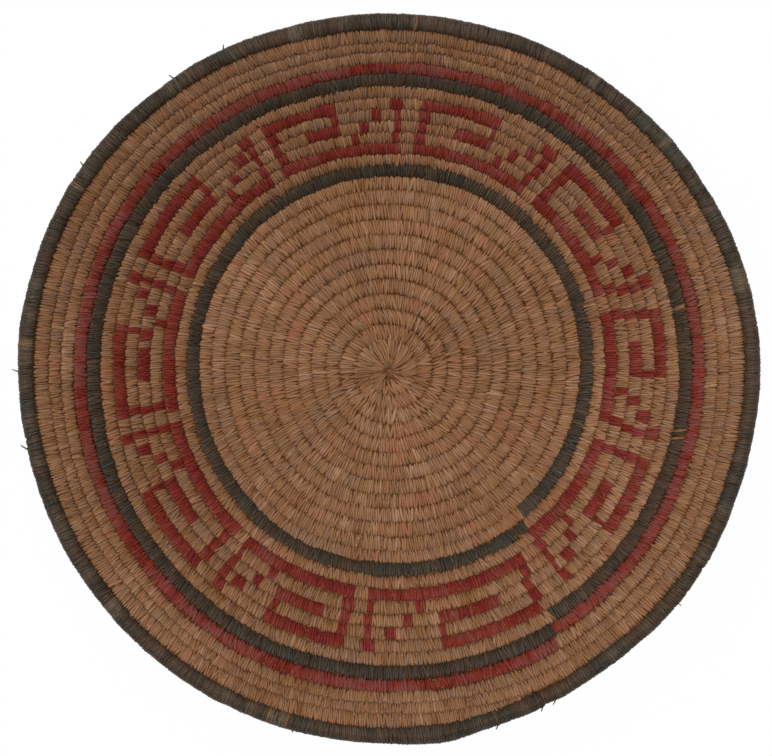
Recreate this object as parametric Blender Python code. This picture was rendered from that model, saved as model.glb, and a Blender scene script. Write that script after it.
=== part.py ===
"""A coiled wedding basket, 355 mm across, modelled as its coil is sewn.

One three-rod foundation winds out from the start knot, seen from above
counter-clockwise. It lies flat for the floor, turns up through the heel and
climbs the wall to the rim. The sewing splints are tubes around it, each with
the foundation's bore: one tube for every ring of colour and every row of the
fret band. Turns are counted from the start knot, and each ring or row is one
turn, which begins and ends at the same line across the wall.

Metres, +Z up. The origin is the middle of the underside.
"""
import math

import bmesh
import bpy
import numpy as np

# Driving dimensions of the coil
COIL_PITCH = 0.00712        # from one turn to the next, along the floor or wall
COIL_GAP = 0.00048          # open groove between neighbouring turns
COIL_WIDTH = COIL_PITCH - COIL_GAP
COIL_THICK = 0.0066         # through the wall
START_RADIUS = 0.0025       # spiral's radius where turn 0 begins
FLOOR_RADIUS = 0.088        # flat underside
HEEL_LENGTH = 0.012         # along the profile, floor to straight wall
WALL_ANGLE = math.radians(35.0)
JOG_ANGLE = math.radians(-48.75)   # where the rings begin and end

# Turns at which the pieces begin
START_TURN = -0.25
KNOT_END = 1.0
INNER_DARK = 13.0
INNER_NATURAL = 14.0
FRET = 15.0
FRET_ROWS = 5
OUTER_NATURAL = 20.0
OUTER_DARK = 21.0
RED = 22.0
BORDER = 23.0
BORDER_COILS = 3
RIM = 26.0
RIM_END = 26 + 23 / 24

# Start knot, rim and foundation
KNOT_TIP = 0.22             # share of the full section at the first point
KNOT_FULL = 0.75            # turn at which the section is full
RIM_WIDTH = 0.0079
RIM_THICK = 0.0078
TAIL_TURNS = 1 / 24         # taper of the rim's end
TAIL_TIP = 0.3
BORE_RADIUS = 0.0024        # of the three-cornered bore
CLEARANCE = 0.0003
SPLICES = (8.0, 14.5, 20.5)        # where new rods are laid in
FOUNDATION_END = 26.875
END_GAP = 0.0004            # between two tubes that meet end to end
SQUARE_END = 0.0006         # straight run that squares such an end to the coil

# Points on a turn: few where the turns are small, more after that
FINE_TURN = 6
COARSE_STEPS = 12
FINE_STEPS = 24

NATURAL = (0.55, 0.36, 0.19, 1.0)
DARK = (0.035, 0.034, 0.028, 1.0)
CRIMSON = (0.36, 0.045, 0.035, 1.0)
ROD = (0.47, 0.33, 0.19, 1.0)


def clear_scene():
    for item in list(bpy.data.objects):
        bpy.data.objects.remove(item, do_unlink=True)


def new_collection(name):
    collection = bpy.data.collections.new(name)
    bpy.context.scene.collection.children.link(collection)
    return collection


def splint_material(name, colour, roughness=0.6):
    material = bpy.data.materials.new(name)
    material.use_nodes = True
    shader = material.node_tree.nodes["Principled BSDF"]
    shader.inputs["Base Color"].default_value = colour
    shader.inputs["Roughness"].default_value = roughness
    shader.inputs["Metallic"].default_value = 0.0
    return material


def smooth(value):
    value = min(max(value, 0.0), 1.0)
    return value * value * (3 - 2 * value)


def section_share(turn):
    """Size of the tube's section at a turn, as a share of its full size."""
    if turn < KNOT_FULL:
        run = (turn - START_TURN) / (KNOT_FULL - START_TURN)
        return KNOT_TIP + (1 - KNOT_TIP) * smooth(run)
    if turn < RIM:
        return 1.0
    swell = COIL_WIDTH / RIM_WIDTH
    swell += (1 - swell) * smooth((turn - RIM) * FINE_STEPS)
    tail = (turn - (RIM_END - TAIL_TURNS)) / TAIL_TURNS
    return swell - (1 - TAIL_TIP) * smooth(tail)


def profile_point(run):
    """Radius, height and slope at a distance along the basket's profile."""
    heel_radius = HEEL_LENGTH / WALL_ANGLE
    slope = min(max((run - FLOOR_RADIUS) / heel_radius, 0.0), WALL_ANGLE)
    wall = max(run - FLOOR_RADIUS - HEEL_LENGTH, 0.0)
    radius = min(run, FLOOR_RADIUS) + heel_radius * math.sin(slope) + wall * math.cos(slope)
    height = COIL_THICK / 2 + heel_radius * (1 - math.cos(slope)) + wall * math.sin(slope)
    height += COIL_WIDTH / 4 * math.sin(slope)      # the coil tips on its lower inner edge
    return radius, height, slope


def coil_point(turn):
    """Place and slope of the foundation's middle at a turn."""
    run = START_RADIUS + COIL_PITCH * turn
    if turn > RIM:          # the rim's inner edge keeps the groove's width
        run += (RIM_WIDTH * section_share(turn) - COIL_WIDTH) / 2
    radius, height, slope = profile_point(run)
    angle = JOG_ANGLE + math.tau * turn
    return radius * math.cos(angle), radius * math.sin(angle), height, slope


def coil_turns(first, last):
    """The turns at which a tube from first to last has its points."""
    grid = [step / COARSE_STEPS for step in range(-COARSE_STEPS, FINE_TURN * COARSE_STEPS)]
    grid += [FINE_TURN + step / FINE_STEPS for step in range(int(RIM_END * FINE_STEPS))]
    margin = 0.25 / FINE_STEPS
    inner = [turn for turn in grid if first + margin < turn < last - margin]
    return [first, *inner, last]


def moved(turn, distance):
    """The turn that lies a distance further along the coil."""
    x, y, _, _ = coil_point(turn)
    return turn + distance / (math.tau * math.hypot(x, y))


def joined_turns(first, last, gap=END_GAP):
    """Points of a tube that meets others: drawn in by half a gap, with square ends."""
    start, end = moved(first, gap / 2), moved(last, -gap / 2)
    return [start, *coil_turns(moved(start, SQUARE_END), moved(end, -SQUARE_END)), end]


def section_curve(name, corners, collection):
    """A closed outline, width along X and thickness along Y."""
    data = bpy.data.curves.new(name, "CURVE")
    data.dimensions = "2D"
    spline = data.splines.new("POLY")
    spline.points.add(len(corners) - 1)
    for point, (x, y) in zip(spline.points, corners):
        point.co = (x, y, 0.0, 1.0)
    spline.use_cyclic_u = True
    section = bpy.data.objects.new(name, data)
    section.hide_render = True
    section.display_type = "WIRE"
    collection.objects.link(section)
    return section


def splint_section(name, width, thick, collection):
    """Six sides: flat above and below, a corner towards each neighbour."""
    corners = [(width / 2, 0.0), (width / 4, thick / 2), (-width / 4, thick / 2),
               (-width / 2, 0.0), (-width / 4, -thick / 2), (width / 4, -thick / 2)]
    return section_curve(name, corners, collection)


def rod_section(name, radius, collection):
    """The three-rod bunch: two rods below and one above."""
    angles = [math.radians(90 + 120 * corner) for corner in range(3)]
    corners = [(radius * math.cos(angle), radius * math.sin(angle)) for angle in angles]
    return section_curve(name, corners, collection)


def wind(name, section, turns, collection, tapered=True):
    """Sweeps a section along the coil and returns it as a closed mesh."""
    data = bpy.data.curves.new(name + "_path", "CURVE")
    data.dimensions = "3D"
    data.twist_mode = "Z_UP"
    data.bevel_mode = "OBJECT"
    data.bevel_object = section
    data.use_fill_caps = True
    spline = data.splines.new("POLY")
    spline.points.add(len(turns) - 1)
    for point, turn in zip(spline.points, turns):
        x, y, z, slope = coil_point(turn)
        point.co = (x, y, z, 1.0)
        point.tilt = -slope
        point.radius = section_share(turn) if tapered else 1.0
    path = bpy.data.objects.new(name + "_path", data)
    collection.objects.link(path)
    bpy.context.view_layer.update()

    evaluated = path.evaluated_get(bpy.context.evaluated_depsgraph_get())
    mesh = bpy.data.meshes.new_from_object(evaluated)
    mesh.name = name
    shape = bmesh.new()
    shape.from_mesh(mesh)
    bmesh.ops.remove_doubles(shape, verts=shape.verts, dist=0.00001)
    bmesh.ops.recalc_face_normals(shape, faces=shape.faces)
    shape.to_mesh(mesh)
    shape.free()
    tube = bpy.data.objects.new(name, mesh)
    tube.matrix_world = path.matrix_world
    collection.objects.link(tube)
    bpy.data.objects.remove(path, do_unlink=True)
    return tube


def bore_out(tube, cutter):
    cut = tube.modifiers.new("foundation_bore", "BOOLEAN")
    cut.operation = "DIFFERENCE"
    cut.solver = "EXACT"
    cut.object = cutter


def centre(collection, widest):
    """Hangs all pieces and the bore on one empty, so that the rim lies centred."""
    corners = np.array([corner.co for corner in widest.data.vertices])
    middle = (corners.min(axis=0) + corners.max(axis=0)) / 2
    frame = bpy.data.objects.new("basket_frame", None)
    collection.objects.link(frame)
    frame.location = (-middle[0], -middle[1], 0.0)
    for item in bpy.data.objects:
        if item.type == "MESH":
            item.parent = frame


def least_gap(first, last, width):
    """Smallest groove between a tube and its own next turn, on its points."""
    turns = coil_turns(first, last)
    points = np.array([coil_point(turn)[:3] for turn in turns])
    shares = np.array([section_share(turn) for turn in turns])
    least = math.inf
    for index, turn in enumerate(turns):
        later = [other for other, value in enumerate(turns) if value > turn + 0.5]
        if later:
            spans = np.linalg.norm(points[later] - points[index], axis=1)
            walls = (shares[later] + shares[index]) * width / 2
            least = min(least, float((spans - walls).min()))
    return least


def build():
    clear_scene()
    basket = new_collection("wedding_basket")
    cutters = new_collection("sections_and_cutters")
    natural = splint_material("natural_splint", NATURAL)
    dark = splint_material("dark_splint", DARK)
    red = splint_material("red_splint", CRIMSON)
    rods = splint_material("foundation_rods", ROD, 0.7)

    coil_section = splint_section("coil_section", COIL_WIDTH, COIL_THICK, cutters)
    rim_section = splint_section("rim_section", RIM_WIDTH, RIM_THICK, cutters)
    bore_section = rod_section("bore_section", BORE_RADIUS, cutters)
    bunch_section = rod_section("bunch_section", BORE_RADIUS - 2 * CLEARANCE, cutters)

    bore_turns = coil_turns(KNOT_END, FOUNDATION_END)
    bore_turns.append(moved(FOUNDATION_END, BORE_RADIUS))
    bore = wind("foundation_bore", bore_section, bore_turns, cutters, tapered=False)
    bore.hide_render = True
    bore.display_type = "WIRE"

    pieces = [("centre_coil", KNOT_END, INNER_DARK, natural),
              ("inner_dark_ring", INNER_DARK, INNER_NATURAL, dark),
              ("inner_natural_ring", INNER_NATURAL, FRET, natural)]
    for row in range(FRET_ROWS):
        colour = red if row == 0 else natural
        pieces.append((f"fret_row_{row + 1}", FRET + row, FRET + row + 1, colour))
    pieces += [("outer_natural_ring", OUTER_NATURAL, OUTER_DARK, natural),
               ("outer_dark_ring", OUTER_DARK, RED, dark),
               ("red_ring", RED, BORDER, red)]
    for coil in range(BORDER_COILS):
        pieces.append((f"border_coil_{coil + 1}", BORDER + coil, BORDER + coil + 1, natural))

    knot_turns = [START_TURN, *joined_turns(START_TURN + 1 / COARSE_STEPS, KNOT_END)[2:]]
    knot = wind("start_knot", coil_section, knot_turns, basket)
    knot.data.materials.append(natural)

    for name, first, last, material in pieces:
        tube = wind(name, coil_section, joined_turns(first, last), basket)
        tube.data.materials.append(material)
        bore_out(tube, bore)

    rim_turns = [*joined_turns(RIM, RIM_END)[:-2], RIM_END]
    rim = wind("rim_coil", rim_section, rim_turns, basket)
    rim.data.materials.append(dark)
    bore_out(rim, bore)

    splices = [KNOT_END, *SPLICES, FOUNDATION_END]
    for number, (first, last) in enumerate(zip(splices, splices[1:]), start=1):
        turns = joined_turns(first, last, 2 * END_GAP)
        bunch = wind(f"foundation_{number}", bunch_section, turns, basket, tapered=False)
        bunch.data.materials.append(rods)

    centre(basket, rim)
    print(f"least gap, knot and floor {least_gap(START_TURN, INNER_DARK, COIL_WIDTH) * 1000:.2f} mm")
    print(f"least gap, wall {least_gap(INNER_DARK, RIM, COIL_WIDTH) * 1000:.2f} mm")
    print(f"least gap, rods {least_gap(KNOT_END, FOUNDATION_END, 2 * BORE_RADIUS) * 1000:.2f} mm")


build()
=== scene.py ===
"""Looks of the coiled wedding basket: every stitch of split shoot that wraps the coil.

The coil winds out counter-clockwise from the start knot. A place on the basket is
given by its turn, counted from the knot, by how far it lies outwards along the wall
from the middle of the coil, and by how far it stands off the wall, towards the
inside of the bowl. Lengths are in metres.
"""
import math
import bpy
import numpy as np
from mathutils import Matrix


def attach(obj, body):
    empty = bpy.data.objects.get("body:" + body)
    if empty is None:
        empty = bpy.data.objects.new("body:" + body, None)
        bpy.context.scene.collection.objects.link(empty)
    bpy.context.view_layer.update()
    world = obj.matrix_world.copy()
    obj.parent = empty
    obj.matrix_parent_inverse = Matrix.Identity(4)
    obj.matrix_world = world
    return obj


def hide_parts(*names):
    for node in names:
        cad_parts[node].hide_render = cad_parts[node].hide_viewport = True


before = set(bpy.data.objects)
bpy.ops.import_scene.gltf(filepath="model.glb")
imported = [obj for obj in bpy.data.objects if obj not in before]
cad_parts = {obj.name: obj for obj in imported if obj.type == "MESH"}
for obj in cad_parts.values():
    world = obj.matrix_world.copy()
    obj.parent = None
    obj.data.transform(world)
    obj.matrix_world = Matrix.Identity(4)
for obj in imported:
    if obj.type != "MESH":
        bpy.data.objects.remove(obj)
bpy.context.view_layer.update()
rng = np.random.default_rng(27)

# The coil, as the solids are wound
PITCH = 0.00712
WIDTH = PITCH - 0.00048     # less the groove between two turns
THICK = 0.0066
START_TURN = -0.25
START_RADIUS = 0.0025
FLOOR_RADIUS = 0.088
HEEL = 0.012
WALL_ANGLE = math.radians(35)
JOG_ANGLE = math.radians(-48.75)    # the line across the wall where every ring begins
RIM = 26.0
RIM_END = 26 + 23 / 24
RIM_WIDTH = 0.0079
RIM_THICK = 0.0078
SPIRAL_X = SPIRAL_Y = 0.001455      # the start's place, with the rim centred
MILLIMETRE = 0.001
LEAST_RADIUS = 0.003        # the stitches near the start turn no tighter than this
LEAST_HEIGHT = 0.00005      # and none lies lower than this

# Where the coil is not at its full size, as shares of it and in turns: the start's tip,
# the rim's growth, and the rim's end, which thins out while its stitches flatten and bind
# it down over the coil beside it. A stretch is the turn where it starts, and its length
KNOT_TIP = 0.22
RIM_GROWTH = 1 / 24
TAIL_TIP = 0.07
TAIL_THINS = (26.895, 0.066)
TAIL_FLATTENS = (26.88, 0.03)
TAIL_BINDS = (26.905, 0.06)
TAIL_REACH = 0.0075         # how much further in its last stitches start
TAIL_TOP = 0.0041           # how high they reach at least,
TAIL_TOP_FROM = 26.9        # from this turn on

# How the sewn basket strays from a true spiral: how far each ring's middle drifts and
# its radius grows, and how much longer than wide it is, at a few turns
DRIFT_TURNS = (0, 13.5, 21.5, 26.5)
DRIFT_X = (0.0, 0.0021, 0.0016, 0.0013)
DRIFT_Y = (0.0, 0.0029, -0.0004, -0.0016)
EASE = (0.0, 0.0009, 0.0012, 0.0002)
OVAL = (0.0, 0.0004, 0.0008, 0.0022)
OVAL_ANGLES = (math.radians(-58), math.radians(-58), math.radians(-8), math.radians(-8))
# Slow waves in the coil: how many a turn, and where they start and how much they creep
# from one turn to the next, in radians
WAVES = ((3, 0.3, 0.1), (4, 2.1, 0.23), (5, 4.0, 0.31), (7, 5.2, 0.4), (10, 1.2, 0.7))
WAVE = 0.00013              # how far each wave pushes the coil out
WAVES_FULL = 4              # the turn from which they do so in full
JOG_LEAN = 1 / 360          # the line of the jogs leans by this much a turn
# Where the sewing bulges out or is drawn in: at these bearings, clockwise from the top,
# by so many millimetres, with a row for each of these turns
BULGE_BEARINGS = (0, 12, 25, 60, 72, 105, 130, 144, 155, 167, 180, 205, 240, 262, 280, 310,
                  330, 345, 360)
BULGE_TURNS = (0, 13.5, 21.5, 24.0, 26.5)
BULGES = (
    len(BULGE_BEARINGS) * (0.0,),
    (-0.7, -0.1, 0.5, 0.7, 0.6, 0.1, 1.2, 0.9, 0.5, 0.5, 0.5, 1.5, 0.5, 0.6, 0.9, 0.0, -0.5,
     -0.1, -0.7),
    (-0.4, -0.1, 0.3, 0.1, 0.0, -0.2, 0.1, 0.4, 0.8, 0.5, 0.2, 0.4, -0.4, -0.7, -0.1, 0.7,
     -0.6, -1.5, -0.4),
    (0.0, 0.7, 1.5, 1.2, 1.0, 0.3, 1.6, 1.9, 2.2, 2.1, 1.9, 2.0, 0.4, 0.0, 0.7, 1.8, 0.5,
     -0.8, 0.0),
    (-1.6, -1.7, -0.1, -0.4, 0.3, -1.4, 0.4, 0.4, 2.6, 0.7, 0.1, 0.1, -0.9, -1.5, -0.1, 0.6,
     0.1, -1.6, -1.6))

# Rings of colour, by the turn at which each begins
INNER_DARK, FRET, OUTER_DARK, RED_RING = 13, 15, 21, 22
FRET_ROWS, BORDER_COILS = 5, 3
RIM_START = 25.9465         # where the dye changes for the rim, beside the rim's own end

# The stitches
STITCH = 0.00112            # from one stitch to the next
SEWN_FROM = 0.06            # the turn of the first one
SPLINT_THICK = 0.0007
SPLINT_RUN = 12             # stitches sewn with one length of split shoot, on average
FAN_FROM, FAN_TO = 0.72, 1.72       # the turns at which they fan out from the start
LAPPED_TO = 2.9             # and up to which the next ones start between those
GRAIN = (2.4, 21.0)         # how finely the fibres run across a stitch and along it
# A stitch's way round the coil, every 30 degrees from its outer side over the top to its
# inner side, as shares of its reach and of its height
REACH = (1.0, 0.96, 0.64, 0.0, -0.58, -0.95, -1.0)
RISE = (0.0, 0.81, 0.96, 1.0, 0.96, 0.83, 0.0)

# The fret's ten motifs: the bearings, in degrees clockwise from the top, between which
# the innermost row is red; then, as shares of that length, where the hook ends, where
# its inner bar and its top start, how far the steps are moved, and the end post's lean
MOTIFS = ((144.0, 185.2, 0.606, 0.25, 0.07, -0.01, 0.015),
          (188.5, 220.2, 0.584, 0.22, 0.03, -0.012, 0.0),
          (223.4, 256.6, 0.62, 0.275, 0.035, -0.028, 0.0),
          (259.6, 291.5, 0.632, 0.25, 0.01, -0.032, 0.0),
          (294.8, 328.5, 0.603, 0.272, 0.0, 0.0, 0.015),
          (331.8, 362.6, 0.543, 0.283, 0.015, 0.0, 0.01),
          (366.1, 396.5, 0.605, 0.3, 0.03, -0.01, 0.036),
          (400.2, 430.0, 0.593, 0.3, 0.03, 0.008, 0.078),
          (434.5, 463.2, 0.588, 0.3, 0.08, 0.0, 0.06),
          (467.8, 499.6, 0.582, 0.27, 0.038, 0.0, 0.035))
# From and to which bearings odd stitches are undyed or faded, in the dark rings and in
# one row of the fret
FRET_ODD = FRET + 2
UNDYED = {INNER_DARK: ((2.2, 3.2), (18.0, 19.1)),
          FRET_ODD: ((275.6, 277.0),),
          OUTER_DARK: ((73.4, 74.5), (77.5, 78.3), (100.8, 101.6), (102.4, 103.2)),
          int(RIM): ((3.9, 4.6), (34.8, 36.2), (49.9, 51.3), (73.2, 77.3), (196.2, 199.4),
                     (228.0, 230.6), (273.4, 275.2), (300.2, 301.0), (343.2, 345.6))}
COUNT_FROM = 140.0          # bearings are counted on from here, just past the jogs

# Splint ends that stand out of the sewing: bearing, distance from the middle, length,
# and how far clockwise from straight outwards they point
STRAY_ENDS = ((324.0, 0.1768, 0.0024, -20), (332.5, 0.1764, 0.0016, 15),
              (303.7, 0.1792, 0.0020, 10), (270.0, 0.1803, 0.0022, -10),
              (257.4, 0.1808, 0.0028, 35), (127.6, 0.1792, 0.0020, 70),
              (87.5, 0.1790, 0.0016, -15), (128.4, 0.1794, 0.0020, 30),
              (143.2, 0.1784, 0.0016, -30), (151.9, 0.1799, 0.0036, 70),
              (154.6, 0.1798, 0.0026, 45), (162.2, 0.1802, 0.0024, 35),
              (194.8, 0.1794, 0.0020, 10), (79.0, 0.1452, 0.0052, 65))
STRAY_WIDTH, STRAY_THICK = 0.0006, 0.0004
STRAY_ROOT = 0.0034         # how much further inwards they start, inside the sewing
STRAY_HIDDEN = 0.0032       # and what that adds to their length
RIM_EDGE_FROM = 0.16        # those that start past this distance are the rim's
RIM_EDGE_HEIGHT, DARK_RING_HEIGHT = 0.0605, 0.0435

# The knot and the bunch of rods
KNOT_RADIUS = 0.0035
KNOT_HEIGHT = 0.0019
KNOT_SINK = 0.0002          # how far its middle lies below the coil's
KNOT_SHIFT = 0.0003         # and how far to one side
BUNCH_SIDES = 12
BUNCH_SQUARE = 0.45         # power that makes its section squarer than round
BUNCH_HEIGHT = 0.78         # as a share of the coil's

# The view, and the light
PICTURE_WIDTH = 772         # in pixels
PIXEL = 0.0004944           # size of a pixel at the floor
VIEW_X, VIEW_Y = -3, -6.5   # the picture's middle, in pixels right of and above the start
CAMERA_HEIGHT = 3.0
SENSOR = 36                 # in millimetres, as the lens is
FLOOR_SIZE = 8
FLOOR_GLOW = 0.985          # how much of the white that the camera sees is its own
ROOM_LIGHT = 0.36           # how brightly the white room lights the basket
SUN_LIGHT = 2.55
SUN_TILT = (math.radians(-16.2), math.radians(-10.1), 0)
SUN_SPREAD = math.radians(50)


# The coil's path

def smooth(value):
    """From 0 to 1 with no corner at either end."""
    value = np.clip(value, 0, 1)
    return value * value * (3 - 2 * value)


def progress(turn, stretch):
    """How much of a stretch lies behind a turn, from 0 to 1."""
    start, length = stretch
    return smooth((turn - start) / length)


def profile(run):
    """Radius, height and slope at a distance along the basket's profile."""
    heel_radius = HEEL / WALL_ANGLE
    slope = np.clip((run - FLOOR_RADIUS) / heel_radius, 0, WALL_ANGLE)
    wall = np.maximum(run - FLOOR_RADIUS - HEEL, 0)
    radius = np.minimum(run, FLOOR_RADIUS) + heel_radius * np.sin(slope) + wall * np.cos(slope)
    height = THICK / 2 + heel_radius * (1 - np.cos(slope)) + wall * np.sin(slope)
    return radius, height + WIDTH / 4 * np.sin(slope), slope


def swell(turn):
    """Size of the coil as a share of a full one: small at the knot and at the rim's end."""
    start = KNOT_TIP + (1 - KNOT_TIP) * progress(turn, (START_TURN, 1))
    end = 1 - (1 - TAIL_TIP) * progress(turn, TAIL_THINS)
    return np.where(turn < 2, start, end)


def coil_size(turn):
    """Half the coil's width along the wall and half its thickness."""
    rim = progress(turn, (RIM_START, RIM_GROWTH))
    share = swell(turn)
    return ((WIDTH + (RIM_WIDTH - WIDTH) * rim) / 2 * share,
            (THICK + (RIM_THICK - THICK) * rim) / 2 * np.where(turn > 2, share ** 0.5, share))


def bulge(turn, angle):
    """How far the sewing at a turn is pushed out at an angle."""
    bearing = (90 - np.degrees(angle)) % 360
    spot = np.searchsorted(BULGE_BEARINGS, bearing, side="right") - 1
    spot = np.clip(spot, 0, len(BULGE_BEARINGS) - 2)
    first, last = np.take(BULGE_BEARINGS, spot), np.take(BULGE_BEARINGS, spot + 1)
    share = smooth((bearing - first) / (last - first))
    pushed = 0
    for number, row in enumerate(BULGES):
        part = np.interp(turn, BULGE_TURNS, np.eye(len(BULGES))[number])
        there = np.take(row, spot) * (1 - share) + np.take(row, spot + 1) * share
        pushed = pushed + part * there
    return pushed * MILLIMETRE


def place(turn, out, off, along):
    """Points beside the coil: outwards along the wall, off the wall, and further along."""
    half_width, _ = coil_size(turn)
    run = START_RADIUS + PITCH * turn
    # The wider rim keeps clear of the coil beside it
    run = run + np.where(turn > RIM_START, 1.1 * (half_width - WIDTH / 2), 0)
    radius, height, slope = profile(run)
    angle = JOG_ANGLE + math.tau * turn + along / np.maximum(radius, LEAST_RADIUS)
    radius = radius + out * np.cos(slope) - off * np.sin(slope)
    height = height + out * np.sin(slope) + off * np.cos(slope)
    long_way = np.interp(turn, DRIFT_TURNS, OVAL_ANGLES)
    radius = radius + np.interp(turn, DRIFT_TURNS, OVAL) * np.cos(2 * (angle - long_way))
    radius = radius + np.interp(turn, DRIFT_TURNS, EASE) + bulge(turn, angle)
    push = WAVE * np.clip(turn / WAVES_FULL, 0, 1)
    for waves, start, creep in WAVES:
        radius = radius + push * np.sin(waves * angle + start + creep * turn)
    x = SPIRAL_X + np.interp(turn, DRIFT_TURNS, DRIFT_X) + radius * np.cos(angle)
    y = SPIRAL_Y + np.interp(turn, DRIFT_TURNS, DRIFT_Y) + radius * np.sin(angle)
    return np.stack([x, y, np.maximum(height, LEAST_HEIGHT)], axis=-1)


def wander(count, step, amount):
    """A value for each stitch of a row, which drifts to another over so many stitches."""
    knots = rng.normal(0, amount, int(count / step) + 3)
    return np.interp(np.arange(count) / step, np.arange(len(knots)), knots)


# Modelled pieces

def deselect():
    bpy.ops.object.select_all(action="DESELECT")


def corners_of(mesh):
    """A mesh's corners, as a row of x, y and z for each."""
    spots = np.empty(len(mesh.vertices) * 3)
    mesh.vertices.foreach_get("co", spots)
    return spots.reshape(-1, 3)


def give_look(mesh, look):
    """Gives a mesh its splint's tone, hue, wear and seed, with a row for each corner."""
    colours = mesh.attributes.new("splint_look", "FLOAT_COLOR", "POINT")
    colours.data.foreach_set("color", np.ravel(look))


def finished(piece, name, node_names, materials):
    """Names a piece, gives it its materials and sets it in place of its solids."""
    piece.name = piece.data.name = name
    for material in materials:
        piece.data.materials.append(material)
    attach(piece, "root")
    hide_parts(*node_names)


def stitch_pattern():
    """One stitch: a ring of split shoot, crowned on its outer side."""
    tube = 0.5
    deselect()
    bpy.ops.mesh.primitive_torus_add(major_segments=12, minor_segments=4, major_radius=1,
                                     minor_radius=tube, generate_uvs=True)
    ring = bpy.context.object
    mesh = ring.data
    spots = corners_of(mesh)
    corners = np.empty(len(mesh.loops), int)
    mesh.loops.foreach_get("vertex_index", corners)
    uvs = np.empty(len(mesh.loops) * 2)
    mesh.uv_layers[0].data.foreach_get("uv", uvs)
    uvs = uvs.reshape(-1, 4, 2)
    # Across the splint: 0 on its hidden side, and half its girth either way to its crown
    across = uvs[..., 1] - (uvs[..., 1].mean(axis=1, keepdims=True) > 0.5)
    pattern = {
        "around": np.arctan2(spots[:, 1], spots[:, 0]),
        "across": spots[:, 2] / tube,
        "crown": (np.hypot(spots[:, 0], spots[:, 1]) - 1) / tube,
        "faces": corners.reshape(-1, 4),
        "uv": np.stack([across, uvs[..., 0]], axis=-1),
    }
    bpy.data.objects.remove(ring, do_unlink=True)
    return pattern


def row_of_stitches(pattern, row):
    """Copies of the stitch along the coil, one mesh for the whole row."""
    around, across, crown = (pattern[key][None, :] for key in ("around", "across", "crown"))
    column = {key: value[:, None] for key, value in row.items()}
    outwards, upwards = np.cos(around), np.sin(around)
    inner, outer = np.maximum(-outwards, 0), np.maximum(outwards, 0)
    steps = np.arange(len(REACH)) * math.pi / 6
    # A stitch follows the squarish way, or a round one by its share of roundness
    reach = np.interp(np.abs(around), steps, REACH)
    reach = reach + (outwards - reach) * column["round"]
    rise = np.interp(np.abs(around), steps, RISE)
    rise = rise + (np.abs(upwards) - rise) * column["round"]
    out = np.maximum(reach, 0) * column["outer"] + np.minimum(reach, 0) * column["inner"]
    off = np.sign(upwards) * rise * np.where(upwards > 0, column["top"], column["under"])
    # The splint's edges lie below its crown: a little along the top, more at its two ends
    edge = column["crown"] * (1 + 1.6 * outwards ** 2)
    depth = np.where(crown > 0.9, 0, np.where(crown > -0.1, edge, SPLINT_THICK))
    out = out - outwards * depth
    off = off - upwards * depth
    squeeze = 1 - column["point"] * inner ** 2 - column["taper"] * outer ** 2
    along = across * column["width"] / 2 * squeeze + column["slant"] * outwards
    along = along + column["curl"] * np.sin(around * 2) + column["tip"] * inner ** 3
    spots = place(column["turn"] + 0 * around, out, off, along)

    count, corners = len(row["turn"]), len(pattern["around"])
    faces = pattern["faces"][None] + np.arange(count)[:, None, None] * corners
    deselect()
    bpy.ops.mesh.primitive_cube_add()
    piece = bpy.context.object
    mesh = bpy.data.meshes.new("stitches")
    mesh.vertices.add(count * corners)
    mesh.vertices.foreach_set("co", spots.ravel())
    mesh.loops.add(faces.size)
    mesh.loops.foreach_set("vertex_index", faces.ravel())
    mesh.polygons.add(faces.size // 4)
    mesh.polygons.foreach_set("loop_start", np.arange(0, faces.size, 4))
    mesh.polygons.foreach_set("material_index", np.repeat(row["dye"], len(pattern["faces"])))
    mesh.update(calc_edges=True)
    old, piece.data = piece.data, mesh
    bpy.data.meshes.remove(old)

    uv = mesh.uv_layers.new(name="splint")
    grain = pattern["uv"][None] * np.array(GRAIN) + np.zeros((count, 1, 1, 1))
    uv.data.foreach_set("uv", grain.ravel())
    look = np.stack([row["tone"], row["hue"], row["wear"], row["seed"]], axis=-1)
    give_look(mesh, np.repeat(look, corners, axis=0))
    mesh.shade_smooth()
    return piece


# The sewing

NATURAL, DARK, RED, UNDYED_SPOT = 0, 1, 2, 3


def bearing_of(turn):
    """Degrees clockwise from the top about the start, counted on past the jogs."""
    spots = place(turn, 0, 0, np.zeros(len(turn)))
    bearing = np.degrees(np.arctan2(spots[:, 0] - SPIRAL_X, spots[:, 1] - SPIRAL_Y))
    return (bearing - COUNT_FROM) % 360 + COUNT_FROM


def fret_rows(length, hook, bar, top, moved, lean):
    """The red runs in a motif's rows, innermost first, as shares of its length."""
    # Bars and steps are two or three degrees wide, whatever the motif's length
    degree = 1 / length
    step = hook + lean / 3 + moved
    side = top * 0.6
    return (((0.0, 1.0),),
            ((0.01, 2.8 * degree), (step + 0.063, step + 0.063 + 2.15 * degree),
             (1 - 1.75 * degree, 1 + 0.3 * lean)),
            ((side, 2.2 * degree + side), (bar, hook - 0.003),
             (step + 0.142, step + 0.142 + 2.2 * degree),
             (1 - 1.75 * degree + 0.6 * lean, 1 + 0.8 * lean)),
            ((side, 2.3 * degree + side), (hook - 1.5 * degree, hook),
             (step + 0.235, step + 0.235 + 2.7 * degree),
             (1 - 1.75 * degree + 0.8 * lean, 1 + lean)),
            ((top, hook), (1 - 2.4 * degree + 0.6 * lean, 1 + lean)))


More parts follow.
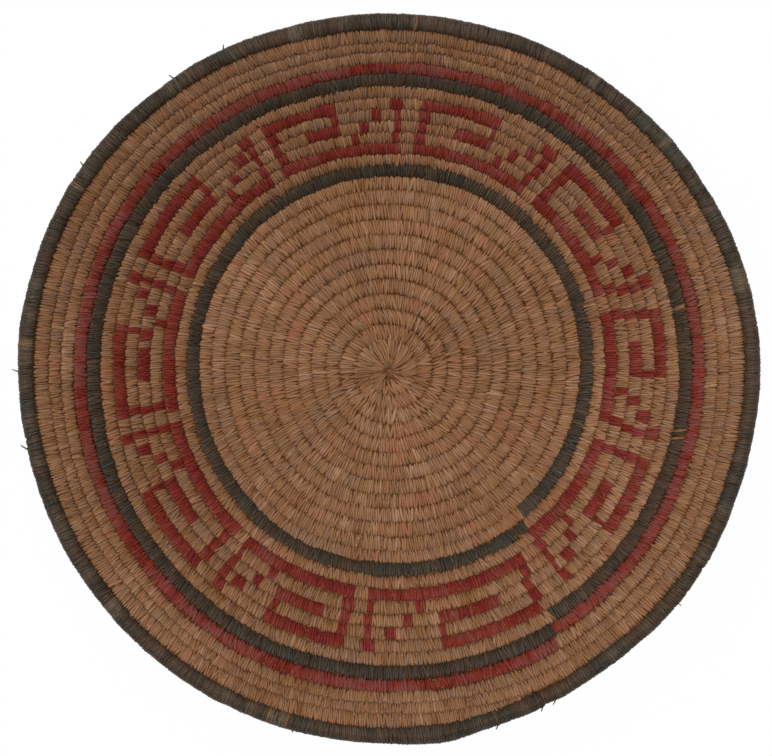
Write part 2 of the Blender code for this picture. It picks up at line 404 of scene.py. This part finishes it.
def dye_of(turn):
    """The dye of the stitch at each turn, and its ring."""
    ring = np.floor(turn + (turn - INNER_DARK) * JOG_LEAN)
    bearing = bearing_of(turn)
    late = turn > RIM - 0.5
    ring[late] = np.where(turn[late] > RIM_START, RIM, RIM - 1)
    dye = np.full(len(turn), NATURAL)
    dye[(ring == INNER_DARK) | (ring == OUTER_DARK) | (ring == RIM)] = DARK
    dye[ring == RED_RING] = RED
    for first, last, *shares in MOTIFS:
        share = (bearing - first) / (last - first)
        for number, runs in enumerate(fret_rows(last - first, *shares)):
            for start, end in runs:
                dye[(ring == FRET + number) & (share >= start) & (share <= end)] = RED
    for number, spots in UNDYED.items():
        for start, end in spots:
            undyed = ((bearing - start) % 360 <= end - start) & (ring == number)
            dye[undyed] = NATURAL if number == FRET_ODD else UNDYED_SPOT
    return dye, ring


def sew():
    """Every stitch from the knot to the end of the rim, as a row of values for each trait."""
    fine = np.linspace(SEWN_FROM, RIM_END - 0.004, 60001)
    radius = profile(START_RADIUS + PITCH * fine)[0]
    length = np.concatenate([[0], np.cumsum(math.tau * radius[1:] * np.diff(fine))])
    count = int(length[-1] / STITCH)
    steps = 1 + rng.triangular(-0.45, -0.1, 0.7, count) + wander(count, 14, 0.08)
    edges = np.concatenate([[0], np.cumsum(steps)])
    edges *= length[-1] / edges[-1]
    turn = np.interp((edges[1:] + edges[:-1]) / 2, length, fine)
    gap = np.diff(edges)
    half_width, half_thick = coil_size(turn)
    size = swell(turn)
    dye, ring = dye_of(turn)

    # One length of split shoot makes a run of stitches of its own tone
    splint = np.cumsum(rng.random(count) < 1 / SPLINT_RUN)
    splint_tone = rng.normal(0, 1, splint[-1] + 1)[splint]
    splint_hue = rng.normal(0, 1, splint[-1] + 1)[splint]
    stitches = {
        "turn": turn,
        "dye": dye,
        "ring": ring,
        "width": gap * rng.uniform(1.2, 1.6, count),
        "inner": half_width + (0.0011 + rng.normal(0, 0.0005, count)
                               + wander(count, 7, 0.0003)) * size,
        "outer": half_width + 0.0002 + rng.normal(0, 0.00016, count),
        "top": half_thick * (1 + rng.normal(0, 0.03, count) + wander(count, 9, 0.02)),
        "under": half_thick * (1 - np.abs(rng.normal(0, 0.02, count))),
        "crown": rng.uniform(0.00012, 0.0003, count) * np.where(ring >= OUTER_DARK, 0.8, 1),
        "round": np.where(turn > RIM_START, 0.75, 0.0) * (1 - progress(turn, TAIL_FLATTENS)),
        "slant": 0.0002 + rng.normal(0, 0.00033, count) + wander(count, 9, 0.00024),
        "curl": rng.normal(0, 0.00013, count),
        "tip": rng.normal(0, 0.00022, count),
        "point": rng.uniform(0.25, 0.75, count),
        "taper": rng.uniform(0.1, 0.5, count),
        "seed": rng.random(count),
        "tone": (0.55 + 0.07 * splint_tone + rng.normal(0, 0.12, count)
                 + wander(count, 2.5, 0.13) - 0.05 * (ring > FRET)),
        "hue": (0.5 + 0.12 * splint_hue + rng.normal(0, 0.14, count)
                + 0.35 * (ring == RED_RING) + 0.15 * (ring == RIM)
                - 0.12 * (ring > FRET) * (dye == NATURAL)),
        "wear": rng.random(count),
    }
    fade(stitches)
    fit_dyed_rings(stitches)
    sew_rim(stitches, gap, half_width)
    sew_start(stitches, half_thick)
    return stitches


def fade(stitches):
    """Odd stitches of the dark rings: most are faded and worn, the rest were never dyed."""
    ring = stitches["ring"]
    spot = stitches["dye"] == UNDYED_SPOT
    faded = spot & (rng.random(len(ring)) < np.where(ring == RIM, 0.9, 0.6))
    stitches["tone"][spot] = (rng.uniform(-0.5, 0.2, spot.sum())
                              - 0.45 * ((ring == RIM) & ~faded)[spot] + 0.3 * faded[spot])
    stitches["hue"][spot] = 0.2
    stitches["wear"][spot] = ((rng.uniform(0.2, 1.2, spot.sum())
                               + np.where(ring == RIM, 1.3, 0)[spot]) * faded[spot])
    stitches["slant"][spot] += 0.0006
    stitches["dye"] = np.where(faded, DARK, np.where(spot, NATURAL, stitches["dye"]))


def fit_dyed_rings(stitches):
    """Dark stitches lie wide, and those beside them start closer to their own coil."""
    for number, inner, outer in ((INNER_DARK, 0.0003, 0.0004), (INNER_DARK + 1, -0.0005, 0),
                                 (OUTER_DARK, 0.0002, 0.0003), (RED_RING, -0.0004, 0)):
        dyed = stitches["ring"] == number
        stitches["inner"][dyed] += inner + wander(dyed.sum(), 5, 0.00025)
        stitches["outer"][dyed] += outer + wander(dyed.sum(), 5, 0.00025)


def sew_rim(stitches, gap, half_width):
    """The rim starts close to its own coil, and the last coil's stitches reach under it."""
    turn = stitches["turn"]
    last = (stitches["ring"] == RIM - 1) & (turn < RIM_START)
    stitches["outer"][last] += rng.uniform(0.0006, 0.0015, last.sum())
    stitches["taper"][last] = rng.uniform(0.4, 0.7, last.sum())
    rim = turn > RIM_START
    count = rim.sum()
    stitches["inner"][rim] = (half_width[rim] - rng.uniform(-0.0002, 0.0014, count)
                              + wander(count, 20, 0.0005)
                              + TAIL_REACH * progress(turn[rim], TAIL_BINDS))
    stitches["outer"][rim] = (half_width[rim] + 0.0002 + rng.normal(0, 0.0001, count)
                              + wander(count, 8, 0.0002))
    stitches["top"][rim] = np.maximum(stitches["top"][rim],
                                      TAIL_TOP * (turn[rim] > TAIL_TOP_FROM))
    stitches["taper"][rim] = 0.0
    stitches["width"][rim] = gap[rim] * 1.5
    stitches["slant"][rim] = (0.0002 + rng.normal(0, 0.00016, count)
                              + wander(count, 12, 0.0003))
    stitches["tone"][rim] += 0.13 + wander(count, 4, 0.3)


def sew_start(stitches, half_thick):
    """The first stitches fan out from near the middle, and the next start between them."""
    turn = stitches["turn"]
    radius = START_RADIUS + PITCH * turn
    fan = (turn > FAN_FROM) & (turn < FAN_TO)
    count = fan.sum()
    short = rng.random(count) < 0.6
    stitches["inner"][fan] = np.where(short, radius[fan] * rng.uniform(0.25, 0.75, count),
                                      radius[fan] - rng.uniform(0.0002, 0.0011, count))
    stitches["top"][fan] = (half_thick[fan] + rng.uniform(-0.0001, 0.0002, count)
                            + 0.0003 * short)
    stitches["outer"][fan] += rng.uniform(0, 0.0008, count)
    stitches["point"][fan] = 0.2
    lapped = (turn >= FAN_TO) & (turn < LAPPED_TO)
    stitches["inner"][lapped] += rng.uniform(0, 0.0021, lapped.sum())
    stitches["top"][lapped] += rng.uniform(-0.0001, 0.0002, lapped.sum())
    early = turn < 4
    stitches["slant"][early] += rng.normal(0.0003, 0.0004, early.sum())
    stitches["slant"][fan] += rng.normal(0.0003, 0.0004, count)
    stitches["curl"][early] += rng.normal(0, 0.0002, early.sum())


# Materials

class Signal:
    """A shader socket that takes part in Python arithmetic."""

    def __init__(self, graph, socket):
        self.graph, self.socket = graph, socket

    def _with(self, operation, *others):
        return self.graph.add("ShaderNodeMath", {"operation": operation}, [self, *others])

    def __add__(self, other):
        return self._with("ADD", other)

    __radd__ = __add__

    def __mul__(self, other):
        return self._with("MULTIPLY", other)

    __rmul__ = __mul__

    def __sub__(self, other):
        return self._with("SUBTRACT", other)

    def __rsub__(self, other):
        return self.graph.add("ShaderNodeMath", {"operation": "SUBTRACT"}, [other, self])

    def beside(self, output):
        """Another output of the same node."""
        return Signal(self.graph, self.socket.node.outputs[output])

    def size(self):
        """The value without its sign."""
        return self._with("ABSOLUTE")

    def fold(self, height):
        """Rises and falls between 0 and height, over and over."""
        return self._with("PINGPONG", height)

    def above(self, low, high):
        """0 at low, 1 at high, and smooth between."""
        return self.graph.add("ShaderNodeMapRange", {"interpolation_type": "SMOOTHSTEP"},
                              {"Value": self, "From Min": low, "From Max": high})


class Graph:
    """The nodes of a material, or of the world."""

    def __init__(self, owner):
        owner.use_nodes = True
        self.owner, self.tree = owner, owner.node_tree

    def add(self, kind, settings=None, inputs=None, output=0):
        """Adds a node, sets it up, fills its sockets and returns one output."""
        node = self.tree.nodes.new(kind)
        for key, value in (settings or {}).items():
            setattr(node, key, value)
        pairs = inputs.items() if isinstance(inputs, dict) else enumerate(inputs or [])
        for key, value in pairs:
            self.fill(node.inputs[key], value)
        return Signal(self, node.outputs[output])

    def fill(self, socket, value):
        """Links a signal to a socket, or gives the socket a value; colours are opaque."""
        if isinstance(value, Signal):
            self.tree.links.new(value.socket, socket)
        elif socket.type == "RGBA":
            socket.default_value = (*value[:3], 1.0)
        else:
            socket.default_value = value

    def set(self, node, **values):
        """Fills sockets of a node that every such tree starts with."""
        for name, value in values.items():
            self.fill(self.tree.nodes[node].inputs[name.replace("_", " ")], value)

    def mix(self, share, first, second):
        """A colour between two."""
        return self.add("ShaderNodeMix", {"data_type": "RGBA"}, {0: share, 6: first, 7: second},
                        output=2)

    def on_piece(self):
        """Places on the piece itself, in its object's coordinates."""
        return self.add("ShaderNodeTexCoord", output="Object")

    def noise(self, vector, scale, detail, stretch=(1, 1, 1)):
        mapped = self.add("ShaderNodeMapping", {}, {"Vector": vector, "Scale": stretch})
        return self.add("ShaderNodeTexNoise", {"noise_dimensions": "3D"},
                        {"Vector": mapped, "Scale": scale, "Detail": detail})

    def bump(self, height, distance, strength):
        return self.add("ShaderNodeBump", {}, {"Height": height, "Distance": distance,
                                               "Strength": strength})


def splint_material(name, colours, worn, dust_and_shade, roughness, streak, film, slow, blotch=0.6,
                    sheen=0.12):
    """Split shoot: fibres along each stitch, a tone for each splint, worn spots, dust and
    painted groove shade.
    """
    graph = Graph(bpy.data.materials.new(name))
    look = graph.add("ShaderNodeAttribute", {"attribute_name": "splint_look"})
    tone = graph.add("ShaderNodeSeparateColor", {}, [look])
    hue, wear, seed = tone.beside(1), tone.beside(2), look.beside("Alpha")
    splint = graph.add("ShaderNodeUVMap", {"uv_map": "splint"})
    across = graph.add("ShaderNodeSeparateXYZ", {}, [splint])
    along = across.beside(1)
    strand = graph.add("ShaderNodeCombineXYZ", {}, [across, along, seed * 43.0])
    body = graph.on_piece()

    # Fibres and flecks follow the splint; the rest lies over the whole piece
    fibre = graph.noise(strand, 1.0, 3.0, (1.5, 0.2, 1))
    fine = graph.noise(strand, 1.0, 2.0, (7.0, 0.4, 1))
    flecks = graph.noise(strand, 1.0, 2.0, (2.2, 0.8, 1))
    patches = graph.noise(body, 90.0, 2.0)
    spots = graph.noise(body, 230.0, 2.0)
    grit = graph.noise(body, 520.0, 1.0)
    cloud = graph.noise(body, 12.0, 1.0)

    light = tone + (fibre - 0.5) * (3.0 * streak) + (fine - 0.5) * (1.4 * streak)
    light = light + (patches - 0.5) * blotch + (cloud - 0.5) * slow
    dull, plain, bright, warm, grey, sallow = colours
    base = graph.mix(light.above(0.05, 0.6), dull, plain)
    base = graph.mix(light.above(0.55, 1.2), base, bright)
    cast = hue + (patches - 0.5) * 1.8 + (cloud - 0.5) * 0.5
    base = graph.mix(cast.above(0.5, 1.1) * 0.75, base, warm)
    base = graph.mix((1 - cast).above(0.5, 1.1) * 0.75, base, grey)
    base = graph.mix(spots.above(0.48, 0.7) * 0.7, base, sallow)
    rubbed = (wear * 0.25 + flecks).above(0.78, 0.92)
    base = graph.mix(rubbed * 0.7, base, worn)
    # A film of dust lies over each stitch, a little thinner at its edges, and grit lies on
    # it; at its two ends, where it goes down into the coil, more of the dark colour is painted
    # on as shade in the groove between the turns
    quarters = along * (4 / GRAIN[1])
    ends = 1 - (quarters.fold(1.0) + (spots - 0.5) * 0.4).above(0.1, 0.7)
    dusty = (across.size() + ends * 0.06 + (fine - 0.5) * 0.2).above(0.32, 0.6)
    base = graph.mix(dusty * film, base, dust_and_shade)
    # Grit flecks all over, and painted shade in the groove at the stitch's two ends
    base = graph.mix((ends * 0.42 + (grit - 0.5) * 2.2).above(0.35, 0.8) * 0.52, base, dust_and_shade)
    graph.set("Principled BSDF", Base_Color=base, Roughness=roughness + (fine - 0.5) * 0.25,
              Specular_IOR_Level=sheen,
              Normal=graph.bump(fibre * 0.6 + fine * 0.4, 0.00035, 0.8))
    return graph.owner


def core_material():
    """The coil's hidden bunch of rods, dark brown as painted shade where it shows between
    stitches.
    """
    graph = Graph(bpy.data.materials.new("rods_in_painted_shade"))
    grain = graph.noise(graph.on_piece(), 420.0, 2.0)
    # Dark browns that stand in as painted shade in the gaps between the stitches and the turns
    base = graph.mix(grain.above(0.35, 0.65), (0.09, 0.035, 0.01), (0.2, 0.088, 0.03))
    graph.set("Principled BSDF", Base_Color=base, Roughness=0.85, Specular_IOR_Level=0.08,
              Normal=graph.bump(grain, 0.0003, 0.5))
    return graph.owner


# Each splint's colours are dull, plain, bright, warm, grey and sallow, then worn, then the
# dust that is also painted groove shade
natural = splint_material(
    "natural_splint",
    ((0.197, 0.087, 0.032), (0.297, 0.146, 0.073), (0.438, 0.25, 0.145), (0.346, 0.132, 0.067),
     (0.245, 0.145, 0.094), (0.308, 0.157, 0.061)),
    (0.48, 0.312, 0.214), (0.123, 0.041, 0.0095), 0.6, streak=0.44, film=0.2, slow=0.9)
dark = splint_material(
    "dark_splint",
    ((0.0295, 0.0188, 0.0098), (0.066, 0.044, 0.026), (0.129, 0.087, 0.055),
     (0.102, 0.049, 0.028), (0.047, 0.059, 0.048), (0.068, 0.052, 0.02)),
    (0.22, 0.15, 0.095), (0.0185, 0.0115, 0.006), 0.62, streak=0.66, blotch=0.66, film=0.38,
    slow=0.4, sheen=0.3)
red = splint_material(
    "red_splint",
    ((0.152, 0.012, 0.0063), (0.219, 0.0345, 0.021), (0.305, 0.062, 0.0515),
     (0.24, 0.08, 0.064), (0.199, 0.0218, 0.0268), (0.262, 0.0275, 0.0135)),
    (0.36, 0.135, 0.1), (0.079, 0.0066, 0.0031), 0.6, streak=0.42, blotch=0.75, film=0.26,
    slow=0.5)


# Making the rows of stitches

pattern = stitch_pattern()
stitches = sew()
turn, ring = stitches["turn"], stitches["ring"]
rows = [("centre_stitches_1", "centre_coil", turn < 7.5),
        ("centre_stitches_2", "centre_coil", (turn >= 7.5) & (turn < 10.5)),
        ("centre_stitches_3", "centre_coil", (turn >= 10.5) & (ring < INNER_DARK)),
        ("inner_dark_stitches", "inner_dark_ring", ring == INNER_DARK),
        ("inner_natural_stitches", "inner_natural_ring", ring == INNER_DARK + 1)]
for row in range(FRET_ROWS):
    rows.append((f"fret_stitches_{row + 1}", f"fret_row_{row + 1}", ring == FRET + row))
rows += [("outer_natural_stitches", "outer_natural_ring", ring == FRET + FRET_ROWS),
         ("outer_dark_stitches", "outer_dark_ring", ring == OUTER_DARK),
         ("red_stitches", "red_ring", ring == RED_RING)]
for coil in range(1, BORDER_COILS + 1):
    rows.append((f"border_stitches_{coil}", f"border_coil_{coil}", ring == RED_RING + coil))
rows.append(("rim_stitches", "rim_coil", ring >= RIM))

for name, node, mask in rows:
    picked = {trait: values[mask] for trait, values in stitches.items()}
    main = ("natural_splint", "dark_splint", "red_splint")[np.bincount(picked["dye"]).argmax()]
    finished(row_of_stitches(pattern, picked), name, [node], [natural, dark, red])


# Making the bunch of rods, the knot and the stray ends

def coil_core():
    """The bunch of rods along the whole coil, close inside the stitches."""
    turns = np.concatenate([np.arange(-0.2, 4, 1 / 48), np.arange(4, RIM_END - 0.02, 1 / 84)])
    deselect()
    bpy.ops.mesh.primitive_grid_add(x_subdivisions=len(turns) - 1, y_subdivisions=BUNCH_SIDES,
                                    size=2)
    core = bpy.context.object
    grid = corners_of(core.data)
    turn = turns[np.rint((grid[:, 0] + 1) / 2 * (len(turns) - 1)).astype(int)]
    outwards, upwards = np.cos(np.pi * grid[:, 1]), -np.sin(np.pi * grid[:, 1])
    half_width, half_thick = coil_size(turn)
    # The bunch fills the gaps between the turns, where its dark brown is painted shade, but
    # keeps back in the outer dark ring, the red ring and the rim. Its under half reaches
    # further, except past the rim's outer edge
    spill = np.interp(turn, (2, 2.1, 20.8, 20.9, 23.0, 23.1, RIM_START, RIM_START + 0.01),
                      (0.002, 0.0006, 0.0006, 0.0, 0.0, 0.0006, 0.0006, -0.0017))
    below = np.interp(turn, (2, 2.1, RIM_START, RIM_START + 0.01),
                      (0.002, 0.001, 0.001, 0.0016)) * swell(turn)
    lower = (upwards < -0.05) & ((outwards < 0) | (turn < RIM_START - 0.1))
    spill = np.where(lower, np.maximum(spill, below), spill)
    reach = np.sign(outwards) * np.abs(outwards) ** BUNCH_SQUARE
    rise = np.sign(upwards) * np.abs(upwards) ** BUNCH_SQUARE
    spots = place(turn, np.maximum(half_width + spill, 0.0002) * reach,
                  half_thick * BUNCH_HEIGHT * rise, np.zeros(len(turn)))
    core.data.vertices.foreach_set("co", spots.ravel())
    bpy.ops.object.mode_set(mode="EDIT")
    bpy.ops.mesh.select_all(action="SELECT")
    bpy.ops.mesh.remove_doubles(threshold=0.00001)
    bpy.ops.mesh.select_non_manifold(extend=False)
    bpy.ops.mesh.fill_holes(sides=BUNCH_SIDES)
    bpy.ops.mesh.select_all(action="SELECT")
    bpy.ops.mesh.normals_make_consistent(inside=False)
    bpy.ops.object.mode_set(mode="OBJECT")
    bpy.ops.object.shade_smooth()
    return core


finished(coil_core(), "foundation_in_painted_shade", [f"foundation_{n}" for n in range(1, 5)],
         [core_material()])


def knot():
    """The lump of splint that the first turn is sewn round."""
    deselect()
    bpy.ops.mesh.primitive_uv_sphere_add(segments=32, ring_count=14, radius=KNOT_RADIUS)
    lump = bpy.context.object
    spots = corners_of(lump.data)
    angle = np.arctan2(spots[:, 1], spots[:, 0])
    level = spots[:, 2] / KNOT_RADIUS
    # Nine pleats, which turn a little from top to bottom
    pleat = 1 + 0.07 * np.sin(9 * angle + 2.5 * level) * (1 - level ** 2)
    spots[:, :2] *= pleat[:, None]
    spots[:, 0] += SPIRAL_X + KNOT_SHIFT
    spots[:, 1] += SPIRAL_Y
    spots[:, 2] = THICK / 2 - KNOT_SINK + level * KNOT_HEIGHT
    lump.data.vertices.foreach_set("co", spots.ravel())
    lump.data.uv_layers[0].name = "splint"
    uvs = np.empty(len(lump.data.loops) * 2)
    lump.data.uv_layers[0].data.foreach_get("uv", uvs)
    uvs = uvs.reshape(-1, 2) * np.array([14.0, 9.0])
    lump.data.uv_layers[0].data.foreach_set("uv", uvs.ravel())
    give_look(lump.data, [[0.1, 0.5, 0.2, 1.0]] * len(spots))
    lump.data.update()
    bpy.ops.object.shade_smooth()
    return lump


finished(knot(), "knot", ["start_knot"], [natural])


def stray_ends():
    """Bent, pointed ends of splint that stand out of the sewing."""
    deselect()
    bpy.ops.mesh.primitive_cone_add(vertices=6, radius1=1, radius2=0.45, depth=1)
    pattern = bpy.context.object
    bpy.ops.object.mode_set(mode="EDIT")
    bpy.ops.mesh.select_all(action="SELECT")
    bpy.ops.mesh.subdivide(number_cuts=3)
    bpy.ops.object.mode_set(mode="OBJECT")
    strand = corners_of(pattern.data) + np.array([0, 0, 0.5])
    ends = []
    for bearing, distance, length, lean in STRAY_ENDS:
        deselect()
        pattern.select_set(True)
        bpy.context.view_layer.objects.active = pattern
        bpy.ops.object.duplicate()
        end = bpy.context.object
        out, way = math.radians(90 - bearing), math.radians(90 - bearing - lean)
        run = strand[:, 2] * (length + STRAY_HIDDEN)
        side = strand[:, 0] * STRAY_WIDTH + rng.normal(0, 0.0016) * strand[:, 2] ** 2
        lift = strand[:, 1] * STRAY_THICK + rng.uniform(-0.0003, 0.0006) * strand[:, 2] ** 2
        root = distance - STRAY_ROOT
        height = RIM_EDGE_HEIGHT if root > RIM_EDGE_FROM else DARK_RING_HEIGHT
        spots = np.stack([
            SPIRAL_X + root * math.cos(out) + run * math.cos(way) - side * math.sin(way),
            SPIRAL_Y + root * math.sin(out) + run * math.sin(way) + side * math.cos(way),
            height + lift], axis=-1)
        end.data.vertices.foreach_set("co", spots.ravel())
        ends.append(end)
    deselect()
    for end in ends:
        end.select_set(True)
    bpy.context.view_layer.objects.active = ends[0]
    bpy.ops.object.join()
    joined = bpy.context.object
    bpy.data.objects.remove(pattern, do_unlink=True)
    joined.data.uv_layers[0].name = "splint"
    give_look(joined.data, [[-0.1, 0.5, 0.2, 1.0]] * len(joined.data.vertices))
    joined.data.update()
    bpy.ops.object.shade_smooth()
    return joined


finished(stray_ends(), "stray_ends", ["rim_coil"], [dark])


# Floor, light and camera

deselect()
bpy.ops.mesh.primitive_plane_add(size=FLOOR_SIZE)
floor = bpy.context.object
floor.name = "pale_floor"
paper = Graph(bpy.data.materials.new("white_paper"))
paper.set("Principled BSDF", Base_Color=(0.9, 0.9, 0.9), Roughness=0.9)
seen = paper.add("ShaderNodeLightPath")
lit = Signal(paper, paper.tree.nodes["Principled BSDF"].outputs[0])
glow = paper.add("ShaderNodeEmission", {}, {"Color": (1, 1, 1), "Strength": 1.0})
blend = paper.add("ShaderNodeMixShader", {}, [seen * FLOOR_GLOW, lit, glow])
paper.set("Material Output", Surface=blend)
floor.data.materials.append(paper.owner)

# The room is white as the camera sees it, and dimmer as a light
room = Graph(bpy.data.worlds.new("soft_room"))
bpy.context.scene.world = room.owner
seen = room.add("ShaderNodeLightPath")
strength = room.add("ShaderNodeMix", {"data_type": "FLOAT"}, {0: seen, 2: ROOM_LIGHT, 3: 1.0})
room.set("Background", Color=(1, 1, 1), Strength=strength)

deselect()
bpy.ops.object.light_add(type="SUN", rotation=SUN_TILT)
lamp = bpy.context.object
lamp.name = "soft_key"
lamp.data.energy = SUN_LIGHT
lamp.data.angle = SUN_SPREAD

camera_data = bpy.data.cameras.new("camera")
camera_data.sensor_width = SENSOR
camera_data.lens = SENSOR * CAMERA_HEIGHT / (PICTURE_WIDTH * PIXEL)
camera_data.clip_end = 50
camera = bpy.data.objects.new("camera", camera_data)
bpy.context.scene.collection.objects.link(camera)
camera.location = (SPIRAL_X + VIEW_X * PIXEL, SPIRAL_Y + VIEW_Y * PIXEL, CAMERA_HEIGHT)
bpy.context.scene.camera = camera
bpy.context.scene.view_settings.view_transform = "Standard"
